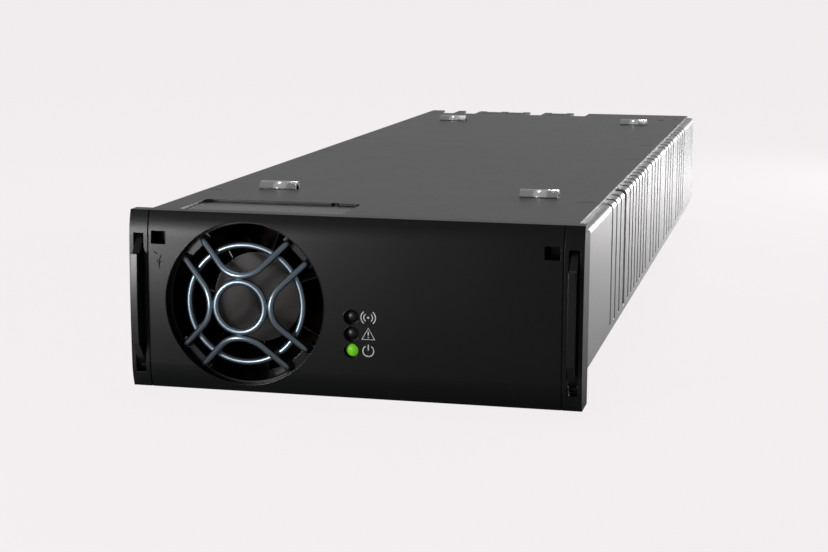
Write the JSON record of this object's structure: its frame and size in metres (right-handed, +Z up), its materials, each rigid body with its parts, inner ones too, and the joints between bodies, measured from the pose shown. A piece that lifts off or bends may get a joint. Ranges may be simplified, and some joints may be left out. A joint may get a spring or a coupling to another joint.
{
  "type": "plug-in rack power converter module",
  "caption": "Long flat sheet-metal power converter that slides into a shelf bay, with a fan behind a wire guard, folding latch handles, lamps and side cooling slots.",
  "frame": {"origin": "bottom centre of the bounding box: the lower edge of the front bezel is at height 0", "axes": "+X to the right as seen from the front, +Y towards the rear connectors, +Z up; the front face looks along -Y"},
  "size_m": [0.109, 0.3319, 0.0438],
  "materials": {
    "bezel_plastic": "fine moulded texture",
    "handle_plastic": "fine moulded texture",
    "guard_wire": "satin plated wire",
    "dark_lamp": "clear rod, unlit",
    "lit_lamp": "clear rod, lit green",
    "lamp_chip": "moulded",
    "circuit_board": "solder-masked laminate",
    "bright_steel": "bright",
    "fan_plastic": "smooth moulded",
    "rotor_plastic": "smooth moulded, brown-black",
    "core_steel": "stacked sheet",
    "magnet": "bonded magnet",
    "winding": "enamelled copper",
    "winding_tape": "tape over copper",
    "tray_steel": "plain zinc-coated sheet",
    "wall_sheet": "plain zinc-coated sheet",
    "cover_sheet": "satin grey sheet",
    "film": "flexible insulating film",
    "connector_plastic": "moulded",
    "contact_metal": "plated copper alloy",
    "heat_sink": "extruded",
    "heat_sink_dark": "black anodised",
    "black_epoxy": "moulded epoxy",
    "ferrite": "sintered ferrite",
    "toroid_coating": "powder coating",
    "capacitor_sleeve": "shrink sleeve",
    "film_box": "moulded box",
    "relay_case": "moulded case",
    "fuse_body": "ceramic tube"
  },
  "bodies": {
    "root": {"bezel": "bezel_plastic", "fan_guard": "guard_wire", "light_pipe_top": "dark_lamp", "light_pipe_middle": "dark_lamp", "light_pipe_bottom": "lit_lamp", "lamp_board": "circuit_board", "lamp_chips": "lamp_chip", "handle_pins": "bright_steel", "fan_frame": "fan_plastic", "fan_stator": "core_steel", "fan_coils": "winding", "fan_bearings": "bright_steel", "base_tray": "tray_steel", "side_wall": "wall_sheet", "top_cover": "cover_sheet", "rear_panel": "tray_steel", "case_screws": "bright_steel", "insulating_sheet": "film", "standoffs": "bright_steel", "main_board": "circuit_board", "board_screws": "bright_steel", "power_connector": "connector_plastic", "signal_connector": "connector_plastic", "contact_blades": "contact_metal", "side_heat_sink": "heat_sink", "centre_heat_sink": "heat_sink_dark", "power_transistors": "black_epoxy", "transformer_core": "ferrite", "transformer_winding": "winding_tape", "choke_cores": "toroid_coating", "choke_windings": "winding", "bulk_capacitors": "capacitor_sleeve", "film_capacitors": "film_box", "relays": "relay_case", "fuse_links": "fuse_body", "fuse_clips": "bright_steel", "control_card": "circuit_board", "card_socket": "connector_plastic"},
    "fan": {"fan_rotor": "rotor_plastic", "fan_magnet": "magnet", "fan_shaft": "bright_steel"},
    "left_handle": {"left_handle": "handle_plastic"},
    "right_handle": {"right_handle": "handle_plastic"}
  },
  "joints": [
    {"name": "fan_spin", "type": "hinge", "parent": "root", "child": "fan", "pos_m": [-0.0259, -0.1481, 0.0213], "axis": [0, 1, 0], "continuous": true},
    {"name": "left_handle_fold", "type": "hinge", "parent": "root", "child": "left_handle", "pos_m": [-0.0522, -0.1594, 0.0053], "axis": [1, 0, 0], "range_deg": [0, 45]},
    {"name": "right_handle_fold", "type": "hinge", "parent": "root", "child": "right_handle", "pos_m": [0.0522, -0.1594, 0.0053], "axis": [1, 0, 0], "range_deg": [0, 45]}
  ]
}
